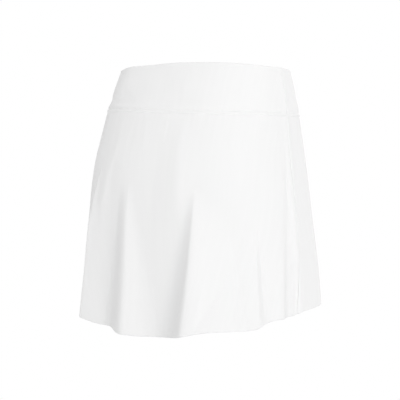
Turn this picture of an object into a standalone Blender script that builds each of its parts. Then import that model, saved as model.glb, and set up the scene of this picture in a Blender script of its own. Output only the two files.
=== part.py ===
"""A tennis skirt in the form that it takes when worn: a wide shaped waistband over a short flared skirt.

Metres, +Z up. +X is the wearer's left, -Y the front and +Y the back. The origin is the centre of the waist
opening, where the wearer's waist holds the skirt. Angles are in degrees round the body: 0 is the wearer's
left, 90 the back, 180 the wearer's right and 270 the front. "Low" and "high" sides of a flute are the sides
of smaller and of larger angle.
"""

import bpy
import numpy as np

COLLECTION = "tennis_skirt"

# ---- Cloth and seams ----
BAND_WALL = 0.0024        # doubled stretch knit
SKIRT_WALL = 0.0016       # single stretch knit
SEAM_GAP = 0.0003         # between neighbouring pieces
RIDGE_HEIGHT = 0.0055     # the waist seam's turned allowance stands up as a soft ridge on the band's lower edge
RIDGE_PROUD = 0.0011

# ---- Heights, from the waist opening down ----
BAND_DROP = 0.0605        # waist seam
SKIRT_LENGTH = 0.277      # cut length of the skirt panels at the side seams' mean
SKIRT_BACK_EXTRA = 0.0270  # the hem is cut longer at the back and as much shorter at the front
SKIRT_SIDE_RISE = 0.0020  # and curves up a little at the sides
RIM_BACK_RISE = 0.0042    # the top edge stands higher at the back than at the front
RIM_SIDE_RISE = -0.0009
SEAM_BACK_RISE = -0.0022  # the waist seam sits lower at the back
SEAM_LEFT_RISE = 0.0050   # and, as worn, higher at the wearer's left than at the right
WAVER_COLUMNS = ("angle", "half_width", "drop")
RIM_WAVER = np.array([    # where the rim stands lower than its plain curve
    (70.0, 26.0, 0.0012),
    (164.0, 17.0, 0.0013),
])
HEM_WAVER = np.array([    # where the hem hangs lower, or higher, than its cut
    (40.0, 9.0, 0.0046),
    (63.0, 5.0, -0.0006),
    (129.0, 8.0, -0.0029),
    (147.0, 4.5, 0.0022),
    (157.0, 5.0, -0.0030),
    (173.0, 6.5, -0.0032),
    (197.0, 9.0, 0.0036),
    (232.0, 12.0, -0.0020),
    (262.0, 9.0, 0.0024),
    (308.0, 12.0, -0.0026),
    (343.0, 10.0, 0.0022),
])

# ---- Sections: squarish ovals, wider than deep, whose centre moves back over the seat ----
SQUARENESS = 2.35         # 2 is an ellipse, larger is squarer
SECTION_COLUMNS = ("drop", "half_width", "half_depth", "back_shift")
SECTIONS = np.array([
    (0.000, 0.1248, 0.0892, 0.0000),    # waist opening
    (0.031, 0.1324, 0.0998, 0.0034),
    (0.063, 0.1388, 0.1095, 0.0069),    # waist seam
    (0.095, 0.1442, 0.1169, 0.0108),
    (0.130, 0.1503, 0.1232, 0.0150),
    (0.170, 0.1567, 0.1252, 0.0166),    # fullest seat
    (0.220, 0.1631, 0.1250, 0.0153),
    (0.280, 0.1695, 0.1240, 0.0128),    # from here the back hangs clear of the legs
    (0.340, 0.1741, 0.1240, 0.0115),    # hem
])
SEAM_SECTION = SECTIONS[2, 0]
HEM_SECTION = SECTIONS[-1, 0]

# ---- Side seams ----
SIDE_SEAM_TOP = 2.5       # degrees behind straight sideways, in the band
SIDE_SEAM_HEM = 10.6      # and at the hem, towards which they swing back faster and faster

# ---- Flutes: cones of cloth that open downwards from a point on the skirt ----
FLUTE_COLUMNS = ("hem_angle", "top_angle", "start", "low_width", "high_width", "height", "steepness", "crest")
FLUTES = {
    "back_left": (71.5, 74.7, 0.291, 24.2, 22.1, 0.021, 1.16, 0.2),
    "back_right": (119.9, 120.7, 0.36, 28.0, 49.2, 0.0512, 2.66, 0.119),
    "back_hollow": (143.0, 142.5, 0.50, 7.0, 6.0, -0.0030, 2.0, 0.40),
    "back_outer": (148.8, 151.1, 0.54, 18.8, 4.9, 0.0133, 0.82, 0.33),
    "right_hollow": (165.1, 174.8, 0.15, 14.0, 5.5, -0.0085, 4.0, 0.14),
    "right_edge": (168.0, 181.1, 0.105, 10.5, 16.3, 0.007, 0.96, 0.24),
    "left_back": (31.5, 48.2, 0.236, 10.6, 14.2, 0.0168, 3.9, 0.053),
    "left_corner": (32.1, 61.0, 0.126, 33.6, 12.7, 0.0094, 2.23, 0.7),
    "left_hollow": (50.1, 67.3, 0.306, 30.3, 18.6, -0.0176, 0.81, 0.9),
    "left_edge": (11.0, 5.0, 0.22, 6.0, 13.0, 0.0100, 2.0, 0.12),
    "left_front": (337.0, 343.0, 0.30, 24.0, 14.0, 0.0190, 2.0, 0.09),
    "front_left": (303.0, 299.0, 0.36, 22.0, 26.0, 0.0215, 2.3, 0.07),
    "front_middle": (271.0, 273.0, 0.48, 14.0, 16.0, 0.0090, 2.0, 0.25),
    "front_right": (240.0, 244.0, 0.30, 18.0, 27.0, 0.0200, 2.0, 0.08),
    "right_front": (203.0, 198.0, 0.35, 20.0, 24.0, 0.0010, 2.0, 0.40),
}
FLUTE_GROWTH = 1.13       # a flute's height grows a little faster than the way down from its point
FLUTE_LIFT = 0.4          # share of a flute's height that the cloth pays for in length, which lifts the hem there
FLUTE_POINT = 0.14        # its width there, as a share of the width at the hem

# ---- Fineness ----
BAND_ROWS = 4             # above the ridge
RIDGE_ROWS = 4
BAND_COLUMNS = 44         # in each half
SKIRT_ROWS = 18
BACK_COLUMNS = 96
FRONT_COLUMNS = 66
STEP = 1e-4               # for slopes, in degrees and in shares of a height

CLOTH_COLOUR = (0.93, 0.93, 0.93, 1.0)
CLOTH_ROUGHNESS = 0.75


def between_rows(table, at):
    """Every column of a table at the places `at` of its first column, along smooth cubics through its rows."""
    places = table[:, 0]
    slopes = np.gradient(table, places, axis=0)
    row = np.clip(np.searchsorted(places, at, side="right") - 1, 0, len(places) - 2)
    gap = (places[row + 1] - places[row])[..., None]
    part = (at - places[row])[..., None] / gap
    rise = part ** 2 * (3 - 2 * part)
    straight = table[row] * (1 - rise) + table[row + 1] * rise
    bend = slopes[row] * part * (1 - part) ** 2 - slopes[row + 1] * part ** 2 * (1 - part)
    return straight + gap * bend


def ring(angle, drop):
    """Plan of the plain section at a drop: radius = (|cos / half_width|^n + |sin / half_depth|^n)^(-1/n)."""
    _, half_width, half_depth, back_shift = np.moveaxis(between_rows(SECTIONS, drop), -1, 0)
    turn = np.radians(angle)
    across = np.abs(np.cos(turn) / half_width) ** SQUARENESS
    along = np.abs(np.sin(turn) / half_depth) ** SQUARENESS
    radius = (across + along) ** (-1 / SQUARENESS)
    return np.stack([radius * np.cos(turn), radius * np.sin(turn) + back_shift], axis=-1)


def ring_outward(angle, drop):
    """Unit direction in plan that points out of the plain section."""
    along = ring(angle + STEP, drop) - ring(angle - STEP, drop)
    outward = np.stack([along[..., 1], -along[..., 0]], axis=-1)
    return outward / np.linalg.norm(outward, axis=-1, keepdims=True)


def turn_between(angle, other):
    """Signed degrees from one angle to the other, between -180 and 180."""
    return (angle - other + 180) % 360 - 180


def flute_push(angle, down):
    """How far the flutes push the cloth out. Each rises to a rounded crest, steeply on its low side."""
    push = np.zeros(np.broadcast(angle, down).shape)
    for hem_angle, top_angle, start, low_width, high_width, height, steepness, crest in FLUTES.values():
        opened = np.clip((down - start) / (1 - start), 0, 1)
        off_crest = turn_between(angle, top_angle + (hem_angle - top_angle) * opened)
        low_side = off_crest < 0
        width = np.where(low_side, low_width, high_width) * (FLUTE_POINT + (1 - FLUTE_POINT) * opened)
        away = np.hypot(off_crest / width, crest) - crest
        fall = np.clip(1 - away, 0, 1) ** np.where(low_side, steepness, 2)
        push += height * opened ** FLUTE_GROWTH * fall
    return push


def skirt_plan(angle, down):
    """Plan of the skirt: the plain section there, pushed out by the flutes."""
    drop = SEAM_SECTION + (HEM_SECTION - SEAM_SECTION) * down
    return ring(angle, drop) + ring_outward(angle, drop) * flute_push(angle, down)[..., None]


def waver(table, angle):
    """Sum of drop * exp(-(degrees away / half width)^2) over the places where an edge wavers."""
    places, half_widths, drops = table.T
    away = turn_between(angle[..., None], places) / half_widths
    return np.sum(drops * np.exp(-away ** 2), axis=-1)


def rim_height(angle):
    turn = np.radians(angle)
    return RIM_BACK_RISE * np.sin(turn) + RIM_SIDE_RISE * np.cos(2 * turn) - waver(RIM_WAVER, angle)


def waist_seam_height(angle):
    turn = np.radians(angle)
    return SEAM_BACK_RISE * np.sin(turn) + SEAM_LEFT_RISE * np.cos(turn) - BAND_DROP


def skirt_fall(angle):
    """Height from waist seam to hem: the cut length, less what the cloth spends on reaching outwards.

    The hem hangs level across, although the waist seam is tilted.
    """
    turn = np.radians(angle)
    cut_length = SKIRT_LENGTH + SKIRT_BACK_EXTRA * np.sin(turn) - SKIRT_SIDE_RISE * np.cos(2 * turn)
    seam_to_hem = ring(angle, HEM_SECTION) - ring(angle, SEAM_SECTION)
    reach = np.linalg.norm(seam_to_hem, axis=-1) + FLUTE_LIFT * flute_push(angle, np.ones_like(angle))
    return np.sqrt(cut_length ** 2 - reach ** 2) + SEAM_LEFT_RISE * np.cos(turn) + waver(HEM_WAVER, angle)


def band_surface(angle, down):
    """Points of the band's plain outer face, `down` from 0 at the rim to 1 at the waist seam."""
    plan = ring(angle, SEAM_SECTION * down)
    height = rim_height(angle) * (1 - down) + waist_seam_height(angle) * down
    return np.concatenate([plan, height[..., None]], axis=-1)


def skirt_surface(angle, down):
    """Points of the skirt's outer face, `down` from 0 at the waist seam to 1 at the hem."""
    height = waist_seam_height(angle) - SEAM_GAP - skirt_fall(angle) * down
    return np.concatenate([skirt_plan(angle, down), height[..., None]], axis=-1)


def outward(surface, angle, down):
    """Unit normal of a surface: downward slope crossed with the slope round the body."""
    round_body = surface(angle + STEP, down) - surface(angle - STEP, down)
    downward = surface(angle, down + STEP) - surface(angle, down - STEP)
    normal = np.cross(downward, round_body)
    return normal / np.linalg.norm(normal, axis=-1, keepdims=True)


def seam_angles(down):
    """Angles of the left and right side seams at a share of the way down the skirt."""
    behind = SIDE_SEAM_TOP + (SIDE_SEAM_HEM - SIDE_SEAM_TOP) * down ** 2
    return behind, 180 - behind


def panel_grid(rows, columns, back, in_skirt):
    """Angles and downs of a panel's grid, from seam to seam, half a seam gap inside each seam."""
    down = np.repeat(rows[:, None], columns + 1, axis=1)
    left, right = seam_angles(rows if in_skirt else np.zeros_like(rows))
    edge = np.degrees(SEAM_GAP / 2 / SECTIONS[0, 1])
    first, last = (left + edge, right - edge) if back else (right + edge, left + 360 - edge)
    across = np.linspace(0, 1, columns + 1)[None, :]
    return first[:, None] * (1 - across) + last[:, None] * across, down


def closed_wall(outer, inner):
    """Vertices and faces of a wall between two grids of points: both faces, and a strip along all four edges."""
    rows, columns = outer.shape[:2]
    index = np.arange(rows * columns).reshape(rows, columns)
    outside = np.stack([index[:-1, :-1], index[1:, :-1], index[1:, 1:], index[:-1, 1:]], axis=-1).reshape(-1, 4)
    inside = outside[:, ::-1] + rows * columns
    border = np.concatenate([index[:-1, 0], index[-1, :-1], index[:0:-1, -1], index[0, :0:-1]])
    following = np.roll(border, -1)
    strip = np.stack([border, border + rows * columns, following + rows * columns, following], axis=-1)
    points = np.concatenate([outer.reshape(-1, 3), inner.reshape(-1, 3)])
    return points, np.concatenate([outside, inside, strip])


def add_piece(collection, name, points, faces):
    """One named object of cloth with its own material, shaded smooth except round its cut edges."""
    mesh = bpy.data.meshes.new(name)
    mesh.from_pydata(points.tolist(), [], faces.tolist())
    mesh.validate()
    mesh.shade_smooth()
    mesh.set_sharp_from_angle(angle=np.radians(50))
    material = bpy.data.materials.new(name)
    material.use_nodes = True
    shader = material.node_tree.nodes["Principled BSDF"]
    shader.inputs["Base Color"].default_value = CLOTH_COLOUR
    shader.inputs["Roughness"].default_value = CLOTH_ROUGHNESS
    shader.inputs["Metallic"].default_value = 0.0
    mesh.materials.append(material)
    collection.objects.link(bpy.data.objects.new(name, mesh))


def add_waistband(collection, name, back):
    """Half of the band, with the waist seam's ridge raised along its lower edge over a plain inside."""
    ridge_share = RIDGE_HEIGHT / BAND_DROP
    above = np.linspace(0, 1 - ridge_share, BAND_ROWS + 1)
    ridge = np.linspace(1 - ridge_share, 1, RIDGE_ROWS + 1)
    angle, down = panel_grid(np.concatenate([above, ridge[1:]]), BAND_COLUMNS, back, in_skirt=False)
    plain = band_surface(angle, down)
    normal = outward(band_surface, angle, down)
    up_the_ridge = np.clip((down - 1 + ridge_share) / ridge_share, 0, 1)
    raised = plain + normal * (RIDGE_PROUD * np.sin(np.pi * up_the_ridge))[..., None]
    add_piece(collection, name, *closed_wall(raised, plain - normal * BAND_WALL))


def add_skirt_panel(collection, name, back, columns):
    """Half of the skirt, from side seam to side seam."""
    angle, down = panel_grid(np.linspace(0, 1, SKIRT_ROWS + 1), columns, back, in_skirt=True)
    outer = skirt_surface(angle, down)
    inner = outer - outward(skirt_surface, angle, down) * SKIRT_WALL
    add_piece(collection, name, *closed_wall(outer, inner))


def main():
    for old in list(bpy.data.objects):
        bpy.data.objects.remove(old, do_unlink=True)
    collection = bpy.data.collections.new(COLLECTION)
    bpy.context.scene.collection.children.link(collection)
    add_waistband(collection, "waistband_back", back=True)
    add_waistband(collection, "waistband_front", back=False)
    add_skirt_panel(collection, "skirt_back", True, BACK_COLUMNS)
    add_skirt_panel(collection, "skirt_front", False, FRONT_COLUMNS)


main()
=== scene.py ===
"""The looks of a plain white tennis skirt as worn: a wide waistband over a short skirt that hangs in flutes.

Metres, +Z up. +X is the wearer's left, -Y the front and +Y the back. The origin is the centre of the waist
opening. Angles are in degrees round the body: 0 is the wearer's left, 90 the back, 180 the wearer's right and
270 the front. "Down" runs from 0 to 1 along a piece, from its top edge to its lower edge.
"""

import math

import bpy
import numpy as np
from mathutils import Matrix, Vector


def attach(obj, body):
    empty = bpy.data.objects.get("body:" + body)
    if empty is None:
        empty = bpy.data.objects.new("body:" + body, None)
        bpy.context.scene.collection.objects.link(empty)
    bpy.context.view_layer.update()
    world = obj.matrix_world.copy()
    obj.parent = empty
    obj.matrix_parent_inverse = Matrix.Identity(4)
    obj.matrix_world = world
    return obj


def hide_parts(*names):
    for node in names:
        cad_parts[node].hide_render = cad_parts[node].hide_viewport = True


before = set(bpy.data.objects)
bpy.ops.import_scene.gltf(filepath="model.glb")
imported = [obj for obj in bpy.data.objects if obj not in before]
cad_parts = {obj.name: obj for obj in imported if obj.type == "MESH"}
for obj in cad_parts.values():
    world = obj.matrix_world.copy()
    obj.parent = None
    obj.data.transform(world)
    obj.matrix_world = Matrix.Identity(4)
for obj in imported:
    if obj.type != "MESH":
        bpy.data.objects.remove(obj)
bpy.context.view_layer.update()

MM = 0.001

# ---- Cloth and seams ----
BAND_CLOTH = 2.4 * MM     # doubled stretch knit
SKIRT_CLOTH = 1.6 * MM    # single stretch knit
SEAM_CLEARANCE = 0.05 * MM  # between the rounded edges that meet in a side seam
LAP = 3.6 * MM            # the band's lower edge laps over the skirt by this much at front and back,
LAP_TILT = 1.2 * MM       # by so much more at the wearer's right, and by so much less at the left
RIDGE_HEIGHT = 5.2 * MM   # of the waist seam's ridge, from that edge up
RIDGE_PROUD = 0.9 * MM
DIVE_DEPTH = 0.45 * MM    # the edge itself dives into the skirt's face
DIVE_HEIGHT = 0.9 * MM
SEAM_BLEND = 9 * MM       # over this height above the seam the band takes up the skirt's relief
DITCH_DEPTH = 0.30 * MM   # on average, where the stitching draws the cloth in, just above the ridge
DITCH_WIDTH = 0.9 * MM
DRAWN_PLACES = 3          # round the body, where the thread draws the ditch twice as deep
DRAWN_FROM = 45.0         # degrees, the first of them
TUCK = 1.2 * MM           # the skirt's upper edge reaches up under the band by this much,
DIP_DEPTH = 0.40 * MM     # and dips by this much to pass under it
DIP_HEIGHT = 1.6 * MM
TOP_FOLD = 3.6 * MM       # the facing's edge shows as a faint step this far under the top edge
TOP_FOLD_DEPTH = 0.16 * MM
TOP_FOLD_SOFTNESS = 0.5 * MM

# ---- Heights, from the waist opening down ----
BAND_DROP = 0.0605        # waist seam
SKIRT_LENGTH = 0.277      # cut length of the skirt panels, on average round the body
SKIRT_BACK_EXTRA = 0.0270  # the hem is cut longer at the back and as much shorter at the front
SKIRT_SIDE_RISE = 0.0020  # and curves up a little at the sides
RIM_BACK_RISE = 0.0042    # the top edge stands higher at the back than at the front
RIM_SIDE_RISE = -0.0009   # and a little lower at the sides
SEAM_BACK_RISE = -0.0022  # the waist seam sits lower at the back
SEAM_LEFT_RISE = 0.0050   # and, as worn, higher at the wearer's left than at the right
SEAM_GAP = 0.0003         # from the waist seam to where the way down the skirt starts
RIM_WAVER = np.array([    # where the rim stands lower than its plain curve: angle, half width, drop
    (70.0, 26.0, 0.0012),
    (164.0, 17.0, 0.0013),
])
HEM_WAVER = np.array([    # where the hem hangs lower, or higher, than its cut: angle, half width, drop
    (40.0, 9.0, 0.0046),
    (63.0, 5.0, -0.0006),
    (129.0, 8.0, -0.0029),
    (147.0, 4.5, 0.0022),
    (157.0, 5.0, -0.0030),
    (173.0, 6.5, -0.0032),
    (197.0, 9.0, 0.0036),
    (232.0, 12.0, -0.0020),
    (262.0, 9.0, 0.0024),
    (308.0, 12.0, -0.0026),
    (343.0, 10.0, 0.0022),
])

# ---- Sections: squarish ovals, wider than deep, whose centre moves back over the seat ----
SQUARENESS = 2.35         # 2 is an ellipse, larger is squarer
SECTIONS = np.array([     # drop, half width, half depth, shift to the back
    (0.000, 0.1248, 0.0892, 0.0000),    # waist opening
    (0.031, 0.1324, 0.0998, 0.0034),
    (0.063, 0.1388, 0.1095, 0.0069),    # waist seam
    (0.095, 0.1442, 0.1169, 0.0108),
    (0.130, 0.1503, 0.1232, 0.0150),
    (0.170, 0.1567, 0.1252, 0.0166),    # fullest seat
    (0.220, 0.1631, 0.1250, 0.0153),
    (0.280, 0.1695, 0.1240, 0.0128),    # from here the back hangs clear of the legs
    (0.340, 0.1741, 0.1240, 0.0115),    # hem
])
SEAM_SECTION = SECTIONS[2, 0]
HEM_SECTION = SECTIONS[-1, 0]

# ---- Side seams ----
SIDE_SEAM_TOP = 2.5       # degrees behind straight sideways, in the band
SIDE_SEAM_HEM = 10.6      # and at the hem, towards which they swing back faster and faster

# ---- Flutes: cones of cloth that open downwards from a point on the skirt ----
# Each has the angles of its crest at the hem and at its point, and its start down the skirt. Then come the
# widths at the hem of its low side, towards smaller angles, and of its high side, its height there, the
# steepness of its low side, and how round its crest is. A hollow has a negative height.
FLUTES = {
    "back_left": (71.9, 74.7, 0.318, 24.2, 22.1, 0.021, 1.16, 0.2),
    "back_right": (120.2, 120.7, 0.36, 28.0, 49.2, 0.0512, 2.66, 0.119),
    "back_hollow": (143.0, 142.5, 0.50, 7.0, 6.0, -0.0030, 2.0, 0.40),
    "back_outer": (148.8, 151.1, 0.54, 18.8, 4.9, 0.0133, 0.82, 0.33),
    "right_hollow": (166.5, 174.8, 0.15, 14.0, 5.5, -0.0085, 4.0, 0.14),
    "right_edge": (168.0, 181.1, 0.105, 10.5, 16.3, 0.007, 0.96, 0.24),
    "left_back": (31.5, 48.2, 0.236, 10.6, 14.2, 0.0168, 3.9, 0.053),
    "left_corner": (32.1, 61.0, 0.126, 33.6, 12.7, 0.0094, 2.23, 0.7),
    "left_hollow": (50.1, 67.3, 0.322, 30.3, 18.6, -0.0176, 0.81, 0.9),
    "left_edge": (11.0, 5.0, 0.22, 6.0, 13.0, 0.0100, 2.0, 0.12),
    "left_front": (337.0, 343.0, 0.30, 24.0, 14.0, 0.0190, 2.0, 0.09),
    "front_left": (303.0, 299.0, 0.36, 22.0, 26.0, 0.0215, 2.3, 0.07),
    "front_middle": (271.0, 273.0, 0.48, 14.0, 16.0, 0.0090, 2.0, 0.25),
    "front_right": (240.0, 244.0, 0.30, 18.0, 27.0, 0.0200, 2.0, 0.08),
    "right_front": (203.0, 198.0, 0.35, 20.0, 24.0, 0.0010, 2.0, 0.40),
}
FLUTE_GROWTH = 1.13       # a flute's height grows a little faster than the way down from its point
FLUTE_POINT = 0.14        # its width at its point, as a share of the width at the hem
FLUTE_HIGH_STEEPNESS = 2  # of every high side
FLUTE_LIFT = 0.4          # share of its height that the cloth pays for in length, which lifts the hem there

# ---- Creases: soft troughs (negative) and ridges ----
# Each has the angle and the down of the place where it starts and of the place where it ends, and its half
# width and height in millimetres.
SKIRT_CREASES = np.array([
    (138.8, 0.50, 147.8, 1.50, 5.0, -2.0),    # right half of the back
    (153.0, 0.60, 152.0, 1.10, 2.6, -0.9),
    (127.0, 0.62, 124.0, 1.15, 6.0, 0.7),
    (158.0, 0.06, 161.0, 0.42, 8.0, -0.5),
    (170.2, 0.46, 161.8, 1.60, 6.4, -4.2),    # beside the right side seam
    (181.5, 0.28, 176.2, 0.60, 2.2, -0.6),
    (178.5, -0.30, 177.5, 0.45, 9.0, 2.6),
    (169.0, 0.02, 171.0, 0.28, 5.0, 0.4),
    (110.5, 0.02, 110.5, 0.55, 16.0, 2.4),    # under the waist seam, across the back
    (112.0, 0.02, 108.0, 0.22, 7.0, 0.35),
    (101.0, 0.00, 99.0, 0.18, 4.0, -0.25),
    (96.0, 0.10, 92.0, 0.55, 13.0, -0.8),
    (81.0, 0.00, 83.0, 0.20, 5.0, 0.30),
    (72.0, 0.02, 70.0, 0.26, 5.0, -0.30),
    (59.0, 0.00, 60.0, 0.24, 6.0, 0.35),
    (50.0, 0.30, 52.0, 0.85, 9.0, -0.7),      # left half of the back
    (24.0, 0.35, 22.0, 1.05, 8.0, -0.9),      # left side
    (14.0, 0.05, 17.0, 0.40, 7.0, -0.5),
    (352.0, 0.05, 350.0, 0.35, 7.0, -0.5),
    (322.0, 0.25, 320.0, 0.95, 12.0, -0.9),   # front
    (290.0, 0.02, 288.0, 0.30, 9.0, -0.5),
    (279.0, 0.45, 281.0, 1.10, 8.0, -0.8),
    (258.0, 0.30, 256.0, 1.05, 10.0, -0.9),
    (250.0, 0.00, 252.0, 0.24, 7.0, 0.4),
    (225.0, 0.06, 222.0, 0.50, 10.0, -0.6),
    (212.0, 0.50, 214.0, 1.10, 9.0, -0.7),    # right side
    (189.0, 0.30, 190.0, 1.05, 8.0, -0.6),
])
BAND_CREASES = np.array([
    (45.0, 0.50, 66.0, 0.86, 6.0, -0.9),      # left of the back: hollows, and a swollen waist seam
    (14.0, 0.72, 60.0, 0.76, 4.5, -0.9),
    (36.0, 0.80, 62.0, 0.97, 3.0, 0.6),
    (14.0, 0.94, 62.0, 0.95, 3.6, 2.6),
    (47.0, -0.45, 47.0, 0.70, 32.0, 3.0),     # and fullness above them
    (24.0, -0.50, 26.0, 0.75, 9.0, 1.4),
    (101.0, 0.10, 104.0, 0.95, 8.0, -0.35),   # right of the back
    (112.0, 0.00, 116.0, 0.50, 9.0, 0.30),
    (132.0, 0.55, 152.0, 0.82, 5.0, -0.35),
    (166.0, 0.20, 172.0, 0.90, 5.0, 0.35),
    (177.4, -0.60, 177.4, 1.60, 3.0, 0.7),    # the side seams' allowances stand under the cloth
    (178.5, -0.60, 178.5, 1.60, 9.0, 2.6),
    (2.0, -0.60, 2.0, 1.60, 9.0, 1.6),
    (15.0, 0.30, 9.0, 0.88, 6.0, -0.5),       # left side
    (348.0, 0.35, 330.0, 0.80, 6.0, -0.5),    # front
    (300.0, 0.60, 280.0, 0.86, 5.0, -0.4),
    (262.0, 0.10, 259.0, 0.80, 8.0, -0.4),
    (232.0, 0.40, 214.0, 0.85, 6.0, -0.5),
    (196.0, 0.20, 190.0, 0.80, 6.0, -0.4),    # right side
])
BODY_RADIUS = 0.150       # a rough one, which turns degrees round the body into lengths of cloth

# ---- Puckers: small uneven ripples that the seams' threads draw up ----
PUCKER_REACH = 13 * MM    # they fade away from the seam over this distance
PUCKER_HEIGHT = 0.16 * MM
PUCKER_PITCHES = (8.3, 12.7, 21.0)    # millimetres along the seam; three that never fall in step

# ---- Slackness: broad shallow waves, so that no cloth is ruled smooth ----
SLACK_HEIGHT = 0.35 * MM
SLACK_WAVES = (           # share, waves round the body, their slant and phase, radians down the cloth, phase
    (1.0, 5, 3.1, 0.4, 7.0, 1.3),
    (0.7, 11, -4.7, 2.2, 4.1, 0.2),
)

# ---- Fineness ----
BAND_ROWS = 84
BAND_COLUMNS = 300        # in each half
SKIRT_ROWS = 120
BACK_COLUMNS = 372
FRONT_COLUMNS = 300
EDGE_ANGLES = (40.0, 90.0, 140.0)     # places round a cloth edge's half circle
STEP = 1e-4               # for slopes, in degrees and in shares of a height

# ---- Knit ----
BAND_WALE = 0.55 * MM     # width of one wale, a column of loops
SKIRT_WALE = 0.60 * MM
COURSE_SHARE = 0.8        # height of one course, a row of loops, as a share of that width
WALE_RELIEF = 0.7         # share of the relief that the wales make; the courses make the rest
UNEVENNESS = 0.6          # strength of an uneven hand on the same scale
UNEVEN_SCALE = 1500.0     # its noise, in features to a metre
UNEVEN_DETAIL = 1.0
STREAK_SCALE = 160.0      # faint upright streaks of lighter and darker yarn, in features to a metre across
STREAK_SCALE_DOWN = 0.05  # share of them to a metre down the cloth
STREAK_DETAIL = 3.0
KNIT_BUMP = 0.004 * MM
YARN_STOPS = (0.30, 0.70)  # where the streaks' noise gives the darker and the lighter yarn
BAND_YARN = (0.800, 0.808)  # greys of the darker and the lighter yarn
SKIRT_YARN = (0.794, 0.802)
YARN_ROUGHNESS = (0.84, 0.76)
CLOTH_SURFACE = {
    "Metallic": 0.0,
    "IOR": 1.45,
    "Specular IOR Level": 0.1,
    "Sheen Weight": 0.03,
    "Sheen Roughness": 0.5,
}

# ---- Camera: level with the upper part of the seat, behind the wearer's right ----
CAMERA_AZIMUTH = 213.0
CAMERA_DISTANCE = 1.95
CAMERA_HEIGHT = -0.165
AIM_HEIGHT = -0.185
AIM_RIGHT = -0.0077       # the camera looks this far to its right of the skirt's axis
SENSOR = 36.0             # millimetres, like the lens
LENS = 122.7

# ---- Light: a white room and floor that glow unevenly ----
# Each glow has its azimuth, measured to the camera's right, its elevation, its tightness and its strength.
ROOM_GLOWS = {
    "camera_side": (0.0, 0.0, 4.0, 1.57),
    "above_camera": (0.0, 45.0, 6.0, 0.42),
    "camera_left": (-45.0, 0.0, 4.0, 0.45),
    "camera_right": (45.0, 0.0, 4.0, 0.48),
    "right": (90.0, 0.0, 4.0, 0.53),
    "right_behind": (135.0, 0.0, 4.0, 0.74),
    "behind": (180.0, 0.0, 2.0, 0.72),
}
ROOM_EVEN = 0.53          # strength of the glow that is the same all round
FLOOR_GLOWS = {
    "right": (75.0, -45.0, 4.0, 0.24),
}
FLOOR_EVEN = 0.79
SHOWN = 1.0               # how white the camera sees room and floor
ROOM_MIDDLE = (0.0, 0.0, -0.18)  # from here the floor's glows are aimed
FLOOR_DROP = 0.75         # under the waist opening
FLOOR_SIZE = 30.0


# =============================== The form ===============================

def between_rows(table, at):
    """Every column of a table at places `at` along its first column.

    Cubic Hermite curves run through the rows, with the slopes that the rows beside them give.
    """
    places = table[:, 0]
    slopes = np.gradient(table, places, axis=0)
    row = np.clip(np.searchsorted(places, at, side="right") - 1, 0, len(places) - 2)
    gap = (places[row + 1] - places[row])[..., None]
    part = (at - places[row])[..., None] / gap
    rise = part ** 2 * (3 - 2 * part)
    straight = table[row] * (1 - rise) + table[row + 1] * rise
    bend = slopes[row] * part * (1 - part) ** 2 - slopes[row + 1] * part ** 2 * (1 - part)
    return straight + gap * bend


def ring(angle, drop):
    """Plan of the plain section at a drop: radius = (|cos / half_width|^n + |sin / half_depth|^n)^(-1/n)."""
    _, half_width, half_depth, back_shift = np.moveaxis(between_rows(SECTIONS, drop), -1, 0)
    turn = np.radians(angle)
    across = np.abs(np.cos(turn) / half_width) ** SQUARENESS
    along = np.abs(np.sin(turn) / half_depth) ** SQUARENESS
    radius = (across + along) ** (-1 / SQUARENESS)
    return np.stack([radius * np.cos(turn), radius * np.sin(turn) + back_shift], axis=-1)


def ring_outward(angle, drop):
    """Unit direction in plan out of the plain section: the way round it, turned a quarter clockwise."""
    along = ring(angle + STEP, drop) - ring(angle - STEP, drop)
    outward_plan = np.stack([along[..., 1], -along[..., 0]], axis=-1)
    return outward_plan / np.linalg.norm(outward_plan, axis=-1, keepdims=True)


def turn_between(angle, other):
    """Signed degrees from `other` to `angle`, between -180 and 180."""
    return (angle - other + 180) % 360 - 180


def flute_push(angle, down):
    """How far the flutes push the cloth out.

    Each flute opens in proportion to the way down from its point. Across it, the height falls from a rounded
    crest as (1 - away)^steepness, where away = sqrt((turn / width)^2 + crest^2) - crest.
    """
    push = np.zeros(np.broadcast(angle, down).shape)
    for hem_angle, top_angle, start, low_width, high_width, height, steepness, crest in FLUTES.values():
        opened = np.clip((down - start) / (1 - start), 0, 1)
        off_crest = turn_between(angle, top_angle + (hem_angle - top_angle) * opened)
        low_side = off_crest < 0
        width = np.where(low_side, low_width, high_width) * (FLUTE_POINT + (1 - FLUTE_POINT) * opened)
        away = np.hypot(off_crest / width, crest) - crest
        fall = np.clip(1 - away, 0, 1) ** np.where(low_side, steepness, FLUTE_HIGH_STEEPNESS)
        push += height * opened ** FLUTE_GROWTH * fall
    return push


def waver(table, angle):
    """Sum of drop * exp(-(degrees away / half width)^2) over the places where an edge wavers."""
    places, half_widths, drops = table.T
    away = turn_between(angle[..., None], places) / half_widths
    return np.sum(drops * np.exp(-away ** 2), axis=-1)


def rim_height(angle):
    """Height of the rim: back_rise * sin(turn) + side_rise * cos(2 * turn) - waver."""
    turn = np.radians(angle)
    return RIM_BACK_RISE * np.sin(turn) + RIM_SIDE_RISE * np.cos(2 * turn) - waver(RIM_WAVER, angle)


def waist_seam_height(angle):
    """Height of the waist seam: back_rise * sin(turn) + left_rise * cos(turn) - band_drop."""
    turn = np.radians(angle)
    return SEAM_BACK_RISE * np.sin(turn) + SEAM_LEFT_RISE * np.cos(turn) - BAND_DROP


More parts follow.
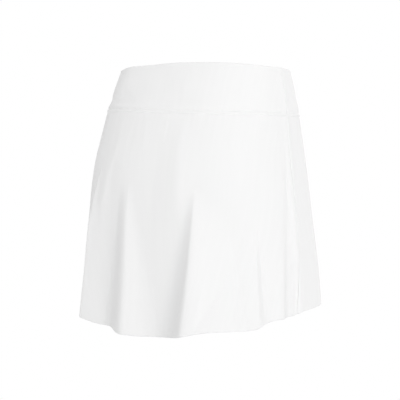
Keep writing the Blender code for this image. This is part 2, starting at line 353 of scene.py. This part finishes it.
def skirt_fall(angle):
    """Height from waist seam to hem: sqrt(cut_length^2 - reach^2) + left_rise * cos(turn) + waver.

    Cloth that reaches outwards hangs less far down. The hem hangs level across, although the waist seam is
    tilted.
    """
    turn = np.radians(angle)
    cut_length = SKIRT_LENGTH + SKIRT_BACK_EXTRA * np.sin(turn) - SKIRT_SIDE_RISE * np.cos(2 * turn)
    seam_to_hem = ring(angle, HEM_SECTION) - ring(angle, SEAM_SECTION)
    reach = np.linalg.norm(seam_to_hem, axis=-1) + FLUTE_LIFT * flute_push(angle, np.ones_like(angle))
    return np.sqrt(cut_length ** 2 - reach ** 2) + SEAM_LEFT_RISE * np.cos(turn) + waver(HEM_WAVER, angle)


def band_surface(angle, down):
    """Points of the band's plain outer face: the section at that share of the seam's drop, at
    rim_height * (1 - down) + waist_seam_height * down."""
    plan = ring(angle, SEAM_SECTION * down)
    height = rim_height(angle) * (1 - down) + waist_seam_height(angle) * down
    return np.concatenate([plan, height[..., None]], axis=-1)


def skirt_surface(angle, down):
    """Points of the skirt's outer face: the section at that drop, pushed out by the flutes, at
    waist_seam_height - seam_gap - skirt_fall * down."""
    drop = SEAM_SECTION + (HEM_SECTION - SEAM_SECTION) * down
    plan = ring(angle, drop) + ring_outward(angle, drop) * flute_push(angle, down)[..., None]
    height = waist_seam_height(angle) - SEAM_GAP - skirt_fall(angle) * down
    return np.concatenate([plan, height[..., None]], axis=-1)


def outward(surface, angle, down):
    """Unit normal of a surface: downward slope crossed with the slope round the body."""
    round_body = surface(angle + STEP, down) - surface(angle - STEP, down)
    downward = surface(angle, down + STEP) - surface(angle, down - STEP)
    normal = np.cross(downward, round_body)
    return normal / np.linalg.norm(normal, axis=-1, keepdims=True)


# =============================== Relief of the cloth ===============================

def crease_relief(creases, angle, down, length):
    """Height of the creases: along each it swells as the sine of the way, and to its sides it falls off as
    exp(-(distance / half width)^2)."""
    relief = np.zeros(angle.shape)
    degree_length = np.radians(BODY_RADIUS)    # metres of cloth to a degree
    for from_angle, from_down, to_angle, to_down, half_width, height in creases:
        run = np.array([turn_between(to_angle, from_angle) * degree_length, (to_down - from_down) * length])
        sideways = turn_between(angle, from_angle) * degree_length
        offset = np.stack([sideways, (down - from_down) * length], axis=-1)
        along = offset @ run / (run @ run)
        aside = np.abs(offset[..., 0] * run[1] - offset[..., 1] * run[0]) / np.linalg.norm(run)
        swell = np.sin(np.pi * np.clip(along, 0, 1))
        relief += height * MM * swell * np.exp(-(aside / (half_width * MM)) ** 2)
    return relief


def pucker_relief(along_seam, from_seam):
    """Ripples across a seam: the mean of sin(2 pi * way / pitch + pitch) * exp(-distance / reach)."""
    ripples = sum(np.sin(2 * np.pi * along_seam / (pitch * MM) + pitch) for pitch in PUCKER_PITCHES)
    return PUCKER_HEIGHT * ripples / len(PUCKER_PITCHES) * np.exp(-from_seam / PUCKER_REACH)


def slack_relief(angle, down):
    """Broad shallow waves: the sum over the table's rows of
    share * sin(waves * turn + slant * down + phase) * sin(radians * down + phase)."""
    turn = np.radians(angle)
    slack = np.zeros(angle.shape)
    for share, waves, slant, phase, radians_down, phase_down in SLACK_WAVES:
        round_body = np.sin(waves * turn + slant * down + phase)
        slack += share * round_body * np.sin(radians_down * down + phase_down)
    return SLACK_HEIGHT * slack


def seam_angles(down):
    """Angles of the left and right side seams at a share of the way down the skirt. They lie behind straight
    sideways by top + (hem - top) * down * |down|."""
    behind = SIDE_SEAM_TOP + (SIDE_SEAM_HEM - SIDE_SEAM_TOP) * down * np.abs(down)
    return behind, 180 - behind


def panel_grid(rows, columns, back, in_skirt, inset):
    """Angles and downs of a panel's grid: even steps from side seam to side seam, less an inset in metres."""
    down = np.repeat(rows[:, None], columns + 1, axis=1)
    left, right = seam_angles(rows if in_skirt else np.zeros_like(rows))
    edge = np.degrees(inset / BODY_RADIUS)
    first, last = (left + edge, right - edge) if back else (right + edge, left + 360 - edge)
    across = np.linspace(0, 1, columns + 1)[None, :]
    return first[:, None] * (1 - across) + last[:, None] * across, down


def way_between(points, axis):
    """Length along a grid of points from its first row or column, summed over the steps between them."""
    steps = np.linalg.norm(np.diff(points, axis=axis), axis=-1)
    way = np.cumsum(steps, axis=axis)
    start = np.zeros_like(np.take(way, [0], axis=axis))
    return np.concatenate([start, way], axis=axis)


def cloth_places(points):
    """The flat place of each point, in metres: sideways from the middle column, and up from the top edge, so
    that all but the top edge is negative.

    Measured so, the knit's wales run straight down the panel as it was cut, and run off its flared sides.
    """
    sideways = way_between(points, axis=1)
    middle = points.shape[1] // 2
    return np.stack([sideways - sideways[:, [middle]], -way_between(points, axis=0)], axis=-1)


# =============================== Pieces of cloth ===============================

def closed_cloth(outer, inner):
    """Points, faces and grid places of a cloth between two faces, with all its edges rounded.

    Round each edge the points lie on a half circle between the two faces:
    middle + half_thickness * cos(t) + outwards_in_the_cloth * |half_thickness| * sin(t).
    """
    rows, columns = outer.shape[:2]
    count = rows * columns
    index = np.arange(count).reshape(rows, columns)
    corners = (index[:-1, :-1], index[1:, :-1], index[1:, 1:], index[:-1, 1:])
    outside = np.stack(corners, axis=-1).reshape(-1, 4)
    inside = outside[:, ::-1] + count
    border = np.concatenate([index[:-1, 0], index[-1, :-1], index[:0:-1, -1], index[0, :0:-1]])
    outer_points = outer.reshape(-1, 3)
    inner_points = inner.reshape(-1, 3)
    middle = (outer_points[border] + inner_points[border]) / 2
    half = (outer_points[border] - inner_points[border]) / 2
    along = np.roll(middle, -1, axis=0) - np.roll(middle, 1, axis=0)
    away = np.cross(along, half)
    away *= np.linalg.norm(half, axis=-1, keepdims=True) / np.linalg.norm(away, axis=-1, keepdims=True)
    rounded = [middle + half * np.cos(t) + away * np.sin(t) for t in np.radians(EDGE_ANGLES)]
    points = np.concatenate([outer_points, inner_points, *rounded])
    loops = [border]
    loops += [2 * count + step * len(border) + np.arange(len(border)) for step in range(len(EDGE_ANGLES))]
    loops += [border + count]
    strips = [
        np.stack([upper, lower, np.roll(lower, -1), np.roll(upper, -1)], axis=-1)
        for upper, lower in zip(loops[:-1], loops[1:])
    ]
    grid_place = np.concatenate([index.ravel(), index.ravel(), *[border] * len(EDGE_ANGLES)])
    return points, np.concatenate([outside, inside, *strips]), grid_place


def add_cloth(name, outer, inner, finish):
    """One named piece of cloth with its flat places as a UV map in metres."""
    points, faces, grid_place = closed_cloth(outer, inner)
    mesh = bpy.data.meshes.new(name)
    mesh.from_pydata(points.tolist(), [], faces.tolist())
    mesh.validate()
    mesh.shade_smooth()
    corners = np.empty(len(mesh.loops), dtype=np.int32)
    mesh.loops.foreach_get("vertex_index", corners)
    flat = cloth_places((outer + inner) / 2).reshape(-1, 2)
    mesh.uv_layers.new(name="cloth").data.foreach_set("uv", flat[grid_place[corners]].ravel())
    mesh.materials.append(finish)
    piece = bpy.data.objects.new(name, mesh)
    bpy.context.scene.collection.objects.link(piece)
    return piece


def side_seam_distance(angle, down, in_skirt):
    """Metres from each point to the nearer side seam: the turn between them * body_radius."""
    left, right = seam_angles(down if in_skirt else np.zeros_like(down))
    nearest = np.minimum(np.abs(turn_between(angle, left)), np.abs(turn_between(angle, right)))
    return np.radians(nearest) * BODY_RADIUS


def band_relief(angle, down):
    """Relief of the band, which passes smoothly into the skirt's where the two are sewn together."""
    above_seam = np.clip((1 - down) * BAND_DROP / SEAM_BLEND, 0, 1)
    share = above_seam ** 2 * (3 - 2 * above_seam)
    own = crease_relief(BAND_CREASES, angle, down, BAND_DROP) + slack_relief(angle, down)
    own += pucker_relief(down * BAND_DROP, side_seam_distance(angle, down, in_skirt=False))
    return own * share + skirt_relief(angle, np.zeros_like(down)) * (1 - share)


def skirt_relief(angle, down):
    """Relief of the skirt: its creases and its slackness, and the puckers along the waist and side seams."""
    relief = crease_relief(SKIRT_CREASES, angle, down, SKIRT_LENGTH) + slack_relief(angle, down)
    relief += pucker_relief(np.radians(angle) * BODY_RADIUS, np.abs(down) * SKIRT_LENGTH)
    return relief + pucker_relief(down * SKIRT_LENGTH, side_seam_distance(angle, down, in_skirt=True))


def waist_seam_relief(angle, height_up):
    """The band's relief where it is sewn to the skirt.

    The ridge stands proud by sin(pi * height / ridge_height). Off it go the dive of its edge into the skirt's
    face, exp(-(height / dive_height)^2), and the ditch above it, exp(-((height - ridge_height) / width)^2).
    """
    ridge = RIDGE_PROUD * np.sin(np.pi * np.clip(height_up / RIDGE_HEIGHT, 0, 1))
    dive = DIVE_DEPTH * np.exp(-(height_up / DIVE_HEIGHT) ** 2)
    drawn = 1 + np.cos(DRAWN_PLACES * np.radians(angle - DRAWN_FROM))
    ditch = DITCH_DEPTH * drawn * np.exp(-((height_up - RIDGE_HEIGHT) / DITCH_WIDTH) ** 2)
    return ridge - dive - ditch


def top_fold_relief(way_down):
    """The soft step of the facing's edge: tanh((fold - way_down) / softness)."""
    return TOP_FOLD_DEPTH * np.tanh((TOP_FOLD - way_down) / TOP_FOLD_SOFTNESS)


def make_waistband(name, back, finish):
    """Half of the band, which laps over the skirt's top edge and ends in the waist seam's ridge."""
    inset = (BAND_CLOTH + SEAM_CLEARANCE) / 2
    rows = np.linspace(inset / BAND_DROP, 1, BAND_ROWS + 1)
    angle, share = panel_grid(rows, BAND_COLUMNS, back, in_skirt=False, inset=inset)
    lap = LAP - LAP_TILT * np.cos(np.radians(angle))
    down = share * (1 + lap / BAND_DROP)
    height_up = (1 - share) * (BAND_DROP + lap)
    sewing = waist_seam_relief(angle, height_up) + top_fold_relief(down * BAND_DROP)
    relief = band_relief(angle, down)
    plain = band_surface(angle, down)
    normal = outward(band_surface, angle, down)
    outer = plain + normal * (relief + sewing)[..., None]
    inner = plain + normal * (relief - BAND_CLOTH)[..., None]
    return add_cloth(name, outer, inner, finish)


def make_skirt_panel(name, columns, back, finish):
    """Half of the skirt, from side seam to side seam. Its top edge is tucked in under the band."""
    inset = (SKIRT_CLOTH + SEAM_CLEARANCE) / 2
    rows = np.linspace(-TUCK / SKIRT_LENGTH, 1 - inset / SKIRT_LENGTH, SKIRT_ROWS + 1)
    angle, down = panel_grid(rows, columns, back, in_skirt=True, inset=inset)
    relief = skirt_relief(angle, down)
    relief -= DIP_DEPTH * np.exp(-((down * SKIRT_LENGTH + TUCK) / DIP_HEIGHT) ** 2)
    plain = skirt_surface(angle, down)
    normal = outward(skirt_surface, angle, down)
    outer = plain + normal * relief[..., None]
    inner = plain + normal * (relief - SKIRT_CLOTH)[..., None]
    return add_cloth(name, outer, inner, finish)


# =============================== Knit ===============================

def add_node(tree, kind, **settings):
    """A new node with its settings."""
    node = tree.nodes.new(kind)
    for key, value in settings.items():
        setattr(node, key, value)
    return node


def calculated(tree, operation, *terms):
    """The result of a math node over links and plain numbers."""
    node = add_node(tree, "ShaderNodeMath", operation=operation)
    for socket, term in zip(node.inputs, terms):
        if isinstance(term, (int, float)):
            socket.default_value = term
        else:
            tree.links.new(term, socket)
    return node.outputs["Value"]


def wave(tree, place, period):
    """Sine of 2 pi * place / period."""
    turns = calculated(tree, "DIVIDE", place, period)
    return calculated(tree, "SINE", calculated(tree, "MULTIPLY", turns, 2 * math.pi))


def noise(tree, place, scale, detail):
    """Flat noise between 0 and 1, with `scale` features to a metre."""
    node = add_node(tree, "ShaderNodeTexNoise", noise_dimensions="2D")
    node.inputs["Scale"].default_value = scale
    node.inputs["Detail"].default_value = detail
    tree.links.new(place, node.inputs["Vector"])
    return node.outputs["Fac"]


def knit_group():
    """Plain knit on a flat place in metres.

    Height is a sine across the wales and one across the courses, with an uneven hand. Tone is noise drawn out
    in upright streaks, which varies the yarn.
    """
    group = bpy.data.node_groups.new("plain_knit", "ShaderNodeTree")
    face = group.interface
    face.new_socket("Place", in_out="INPUT", socket_type="NodeSocketVector")
    course_height = COURSE_SHARE * SKIRT_WALE
    defaults = {"Wale Width": SKIRT_WALE, "Course Height": course_height, "Unevenness": UNEVENNESS}
    for name, default in defaults.items():
        face.new_socket(name, in_out="INPUT", socket_type="NodeSocketFloat").default_value = default
    for name in ("Height", "Tone"):
        face.new_socket(name, in_out="OUTPUT", socket_type="NodeSocketFloat")
    given = group.nodes.new("NodeGroupInput")
    made = group.nodes.new("NodeGroupOutput")

    split = add_node(group, "ShaderNodeSeparateXYZ")
    group.links.new(given.outputs["Place"], split.inputs["Vector"])
    wales = wave(group, split.outputs["X"], given.outputs["Wale Width"])
    courses = wave(group, split.outputs["Y"], given.outputs["Course Height"])
    course_part = calculated(group, "MULTIPLY", courses, 1 - WALE_RELIEF)
    loops = calculated(group, "MULTIPLY_ADD", wales, WALE_RELIEF, course_part)
    wander = noise(group, given.outputs["Place"], UNEVEN_SCALE, UNEVEN_DETAIL)
    uneven = calculated(group, "MULTIPLY", wander, given.outputs["Unevenness"])
    group.links.new(calculated(group, "ADD", loops, uneven), made.inputs["Height"])

    stretched = add_node(group, "ShaderNodeMapping")
    stretched.inputs["Scale"].default_value = (1.0, STREAK_SCALE_DOWN, 1.0)
    group.links.new(given.outputs["Place"], stretched.inputs["Vector"])
    streaks = noise(group, stretched.outputs["Vector"], STREAK_SCALE, STREAK_DETAIL)
    group.links.new(streaks, made.inputs["Tone"])
    return group


def knit_finish(name, knit, wale_width, yarn):
    """White stretch knit: matte, with a trace of sheen, and the knit's relief as a bump."""
    material = bpy.data.materials.new(name)
    material.use_nodes = True
    tree = material.node_tree
    shader = tree.nodes["Principled BSDF"]
    for socket, value in CLOTH_SURFACE.items():
        shader.inputs[socket].default_value = value

    places = add_node(tree, "ShaderNodeUVMap", uv_map="cloth")
    pattern = add_node(tree, "ShaderNodeGroup", node_tree=knit)
    pattern.inputs["Wale Width"].default_value = wale_width
    pattern.inputs["Course Height"].default_value = COURSE_SHARE * wale_width
    pattern.inputs["Unevenness"].default_value = UNEVENNESS
    tree.links.new(places.outputs["UV"], pattern.inputs["Place"])

    tones = add_node(tree, "ShaderNodeValToRGB")
    for stop, position, grey in zip(tones.color_ramp.elements, YARN_STOPS, yarn):
        stop.position = position
        stop.color = (grey, grey, grey, 1.0)
    tree.links.new(pattern.outputs["Tone"], tones.inputs["Fac"])
    tree.links.new(tones.outputs["Color"], shader.inputs["Base Color"])

    rough = add_node(tree, "ShaderNodeMapRange")
    rough.inputs["To Min"].default_value, rough.inputs["To Max"].default_value = YARN_ROUGHNESS
    tree.links.new(pattern.outputs["Tone"], rough.inputs["Value"])
    tree.links.new(rough.outputs["Result"], shader.inputs["Roughness"])

    bump = add_node(tree, "ShaderNodeBump")
    bump.inputs["Strength"].default_value = 1.0
    bump.inputs["Distance"].default_value = KNIT_BUMP
    tree.links.new(pattern.outputs["Height"], bump.inputs["Height"])
    tree.links.new(bump.outputs["Normal"], shader.inputs["Normal"])
    return material


# =============================== Stage ===============================

def direction(azimuth, elevation):
    """Unit vector towards a place round the skirt. Azimuth 0 is in front, and 90 at the wearer's left."""
    turn = math.radians(azimuth)
    rise = math.radians(elevation)
    return Vector((math.sin(turn) * math.cos(rise), -math.cos(turn) * math.cos(rise), math.sin(rise)))


def set_camera():
    """The camera looks at the skirt's middle from behind the wearer's right."""
    turn = math.radians(CAMERA_AZIMUTH)
    place = direction(CAMERA_AZIMUTH, 0) * CAMERA_DISTANCE + Vector((0, 0, CAMERA_HEIGHT))
    aim = Vector((math.cos(turn), math.sin(turn), 0)) * AIM_RIGHT + Vector((0, 0, AIM_HEIGHT))
    camera = bpy.data.objects.new("camera", bpy.data.cameras.new("camera"))
    camera.data.sensor_width = SENSOR
    camera.data.lens = LENS
    camera.location = place
    camera.rotation_euler = (aim - place).to_track_quat("-Z", "Y").to_euler()
    bpy.context.scene.collection.objects.link(camera)
    bpy.context.scene.camera = camera


def glow_strength(tree, towards, glows, even):
    """Strength of the light from a direction: even + sum of strength * max(0, towards . glow)^tightness."""
    total = even
    for azimuth, elevation, tightness, strength in glows.values():
        facing = add_node(tree, "ShaderNodeVectorMath", operation="DOT_PRODUCT")
        tree.links.new(towards, facing.inputs[0])
        facing.inputs[1].default_value = direction(CAMERA_AZIMUTH + azimuth, elevation)
        ahead = calculated(tree, "MAXIMUM", facing.outputs["Value"], 0.0)
        total = calculated(tree, "MULTIPLY_ADD", calculated(tree, "POWER", ahead, tightness), strength, total)
    return total


def shown_and_given(tree, given):
    """Plain white where the camera sees it, and `given` for the light that reaches the cloth."""
    path = add_node(tree, "ShaderNodeLightPath")
    blend = add_node(tree, "ShaderNodeMapRange")
    tree.links.new(given, blend.inputs["To Min"])
    blend.inputs["To Max"].default_value = SHOWN
    tree.links.new(path.outputs["Is Camera Ray"], blend.inputs["Value"])
    return blend.outputs["Result"]


def set_room():
    """The white room's glow depends on the direction alone."""
    world = bpy.data.worlds.new("white_room")
    world.use_nodes = True
    tree = world.node_tree
    around = add_node(tree, "ShaderNodeTexCoord")
    given = glow_strength(tree, around.outputs["Generated"], ROOM_GLOWS, ROOM_EVEN)
    background = tree.nodes["Background"]
    background.inputs["Color"].default_value = (1, 1, 1, 1)
    tree.links.new(shown_and_given(tree, given), background.inputs["Strength"])
    bpy.context.scene.world = world


def lay_floor():
    """A white floor far below the skirt, which glows by its direction from the room's middle."""
    half = FLOOR_SIZE / 2
    mesh = bpy.data.meshes.new("floor")
    corners = [(x * half, y * half, -FLOOR_DROP) for x, y in ((-1, -1), (1, -1), (1, 1), (-1, 1))]
    mesh.from_pydata(corners, [], [(0, 1, 2, 3)])
    white = bpy.data.materials.new("white_floor")
    white.use_nodes = True
    tree = white.node_tree
    place = add_node(tree, "ShaderNodeTexCoord")
    from_middle = add_node(tree, "ShaderNodeVectorMath", operation="SUBTRACT")
    tree.links.new(place.outputs["Object"], from_middle.inputs[0])
    from_middle.inputs[1].default_value = ROOM_MIDDLE
    towards = add_node(tree, "ShaderNodeVectorMath", operation="NORMALIZE")
    tree.links.new(from_middle.outputs["Vector"], towards.inputs[0])
    given = glow_strength(tree, towards.outputs["Vector"], FLOOR_GLOWS, FLOOR_EVEN)
    glow = add_node(tree, "ShaderNodeEmission")
    tree.links.new(shown_and_given(tree, given), glow.inputs["Strength"])
    tree.links.new(glow.outputs["Emission"], tree.nodes["Material Output"].inputs["Surface"])
    mesh.materials.append(white)
    floor = bpy.data.objects.new("floor", mesh)
    bpy.context.scene.collection.objects.link(floor)


def dress(piece, node):
    """Puts a piece of cloth in the place of its solid."""
    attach(piece, "root")
    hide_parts(node)


def main():
    """Sets the stage, then makes the four pieces of cloth and puts them in the places of their solids."""
    set_camera()
    set_room()
    lay_floor()
    bpy.context.scene.view_settings.view_transform = "Standard"

    knit = knit_group()
    band_knit = knit_finish("band_knit", knit, BAND_WALE, BAND_YARN)
    skirt_knit = knit_finish("skirt_knit", knit, SKIRT_WALE, SKIRT_YARN)
    band_back = make_waistband("cloth_waistband_back", back=True, finish=band_knit)
    band_front = make_waistband("cloth_waistband_front", back=False, finish=band_knit)
    skirt_back = make_skirt_panel("cloth_skirt_back", BACK_COLUMNS, back=True, finish=skirt_knit)
    skirt_front = make_skirt_panel("cloth_skirt_front", FRONT_COLUMNS, back=False, finish=skirt_knit)
    dress(band_back, "waistband_back")
    dress(band_front, "waistband_front")
    dress(skirt_back, "skirt_back")
    dress(skirt_front, "skirt_front")


main()
